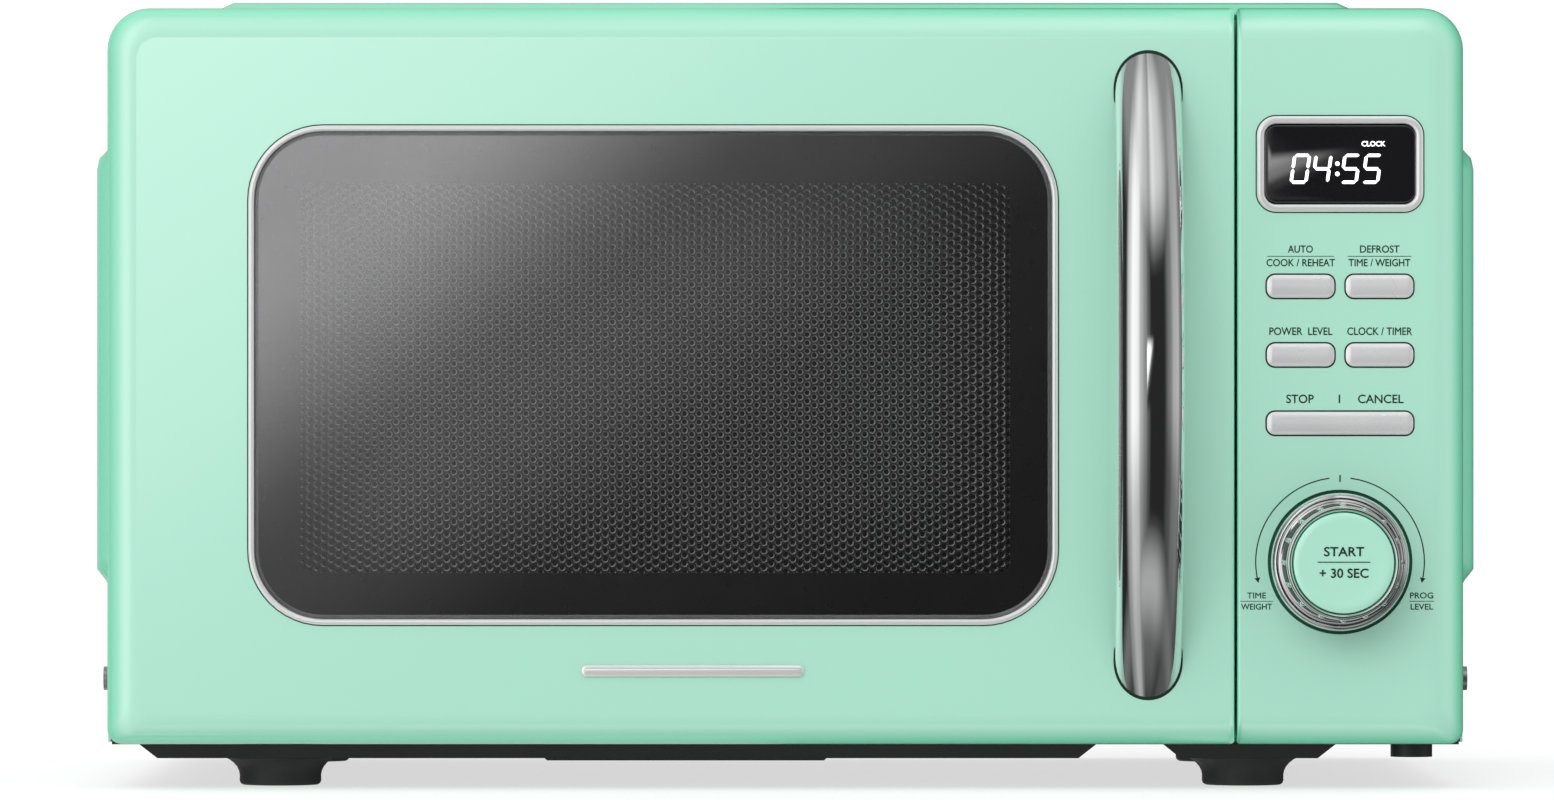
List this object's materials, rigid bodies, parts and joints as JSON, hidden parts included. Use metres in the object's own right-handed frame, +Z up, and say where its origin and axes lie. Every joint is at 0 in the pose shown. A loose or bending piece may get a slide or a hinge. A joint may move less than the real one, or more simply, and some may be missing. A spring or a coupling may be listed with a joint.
{
  "type": "microwave oven",
  "caption": "Retro countertop microwave oven with a side-hinged windowed door, bow handle, chrome dial, press buttons, turntable, fan and inner parts.",
  "frame": {"origin": "on the worktop under the middle of the whole, handle to cord gland and side to side", "axes": "+Z up, the door faces -Y, +X towards the control panel side"},
  "size_m": [0.463, 0.378, 0.263],
  "materials": {
    "mint_paint": "gloss",
    "mint_plastic": "gloss",
    "chrome": "polished",
    "steel": "satin",
    "black_paint": "satin",
    "grey_paint": "satin",
    "enamel": "gloss",
    "dark_glass": "polished",
    "clear_glass": "polished",
    "clear_film": "satin",
    "display_glass": "polished",
    "black_plastic": "satin",
    "white_plastic": "satin",
    "brown_plastic": "satin",
    "foot_rubber": "matte",
    "laminations": "varnished",
    "copper_wire": "enamelled",
    "aluminium": "satin",
    "circuit_board": "satin",
    "mica": "matte",
    "wire_sheath": "satin",
    "screen_paint": "satin"
  },
  "bodies": {
    "cabinet": {"outer_cover": "mint_paint", "base_plate": "black_paint", "back_panel": "grey_paint", "front_left_foot": "foot_rubber", "front_right_foot": "foot_rubber", "rear_left_foot": "foot_rubber", "rear_right_foot": "foot_rubber", "cover_screws": "steel", "cavity": "enamel", "cavity_front_plate": "enamel", "hinge_bracket_upper": "steel", "hinge_bracket_lower": "steel", "waveguide": "steel", "waveguide_cover": "mica", "magnetron": "aluminium", "transformer_core": "laminations", "transformer_windings": "copper_wire", "capacitor": "aluminium", "hv_diode": "black_plastic", "fan_motor": "steel", "fan_shroud": "black_plastic", "turntable_motor": "steel", "cavity_lamp": "white_plastic", "thermal_cutout": "white_plastic", "latch_board": "white_plastic", "interlock_switches": "brown_plastic", "filter_board": "circuit_board", "cord_gland": "black_plastic", "control_panel_fascia": "mint_plastic", "display_bezel": "chrome", "display_window": "display_glass", "control_board": "circuit_board", "rotary_encoder": "black_plastic", "wiring_harness": "wire_sheath"},
    "door": {"door_frame": "mint_plastic", "window_trim": "chrome", "window_glass": "dark_glass", "door_screen": "screen_paint", "door_inner_panel": "steel", "door_inner_window": "clear_film", "choke_cover": "black_plastic", "door_badge": "chrome", "door_handle": "chrome", "handle_screws": "steel", "latch_spring": "steel"},
    "latch": {"latch_key": "white_plastic"},
    "turntable": {"turntable_coupler": "white_plastic", "glass_tray": "clear_glass"},
    "ring": {"roller_ring": "white_plastic"},
    "wheel_1": {"roller_1": "white_plastic"},
    "wheel_2": {"roller_2": "white_plastic"},
    "wheel_3": {"roller_3": "white_plastic"},
    "fan": {"fan_blade": "white_plastic"},
    "dial": {"dial_ring": "chrome"},
    "start": {"start_button": "mint_plastic"},
    "cook": {"cook_button": "chrome"},
    "defrost": {"defrost_button": "chrome"},
    "power": {"power_button": "chrome"},
    "clock": {"clock_button": "chrome"},
    "stop": {"stop_button": "chrome"}
  },
  "joints": [
    {"name": "door_hinge", "type": "hinge", "parent": "cabinet", "child": "door", "pos_m": [-0.217, -0.125, 0.1373], "axis": [0, 0, -1], "range_deg": [0, 105]},
    {"name": "latch_slide", "type": "slide", "parent": "door", "child": "latch", "axis": [0, 0, 1], "range_m": [0, 0.004], "stiffness_N_per_m": 150, "deforming": ["latch_spring"]},
    {"name": "turntable_spin", "type": "hinge", "parent": "cabinet", "child": "turntable", "pos_m": [-0.0438, 0.0278, 0.0543], "axis": [0, 0, 1], "continuous": true},
    {"name": "ring_spin", "type": "hinge", "parent": "cabinet", "child": "ring", "pos_m": [-0.0438, 0.0278, 0.047], "axis": [0, 0, 1], "continuous": true},
    {"name": "wheel_1_spin", "type": "hinge", "parent": "ring", "child": "wheel_1", "pos_m": [0.0442, 0.0278, 0.047], "axis": [1, 0, 0], "continuous": true},
    {"name": "wheel_2_spin", "type": "hinge", "parent": "ring", "child": "wheel_2", "pos_m": [-0.0878, 0.10401, 0.047], "axis": [-0.5, 0.866, 0], "continuous": true},
    {"name": "wheel_3_spin", "type": "hinge", "parent": "ring", "child": "wheel_3", "pos_m": [-0.0878, -0.04841, 0.047], "axis": [-0.5, -0.866, 0], "continuous": true},
    {"name": "fan_spin", "type": "hinge", "parent": "cabinet", "child": "fan", "pos_m": [0.17, 0.166, 0.175], "axis": [0, -1, 0], "continuous": true},
    {"name": "dial_spin", "type": "hinge", "parent": "cabinet", "child": "dial", "pos_m": [0.1835, -0.163, 0.0758], "axis": [0, -1, 0], "continuous": true},
    {"name": "start_press", "type": "slide", "parent": "cabinet", "child": "start", "axis": [0, 1, 0], "range_m": [0, 0.0008], "stiffness_N_per_m": 900},
    {"name": "cook_press", "type": "slide", "parent": "cabinet", "child": "cook", "axis": [0, 1, 0], "range_m": [0, 0.0008], "stiffness_N_per_m": 800},
    {"name": "defrost_press", "type": "slide", "parent": "cabinet", "child": "defrost", "axis": [0, 1, 0], "range_m": [0, 0.0008], "stiffness_N_per_m": 800},
    {"name": "power_press", "type": "slide", "parent": "cabinet", "child": "power", "axis": [0, 1, 0], "range_m": [0, 0.0008], "stiffness_N_per_m": 800},
    {"name": "clock_press", "type": "slide", "parent": "cabinet", "child": "clock", "axis": [0, 1, 0], "range_m": [0, 0.0008], "stiffness_N_per_m": 800},
    {"name": "stop_press", "type": "slide", "parent": "cabinet", "child": "stop", "axis": [0, 1, 0], "range_m": [0, 0.0008], "stiffness_N_per_m": 800}
  ],
  "couplings": [
    {"joint": "ring_spin", "follows": "turntable_spin", "ratio": 0.5},
    {"joint": "wheel_1_spin", "follows": "turntable_spin", "ratio": -6.2857},
    {"joint": "wheel_2_spin", "follows": "turntable_spin", "ratio": -6.2857},
    {"joint": "wheel_3_spin", "follows": "turntable_spin", "ratio": -6.2857}
  ]
}
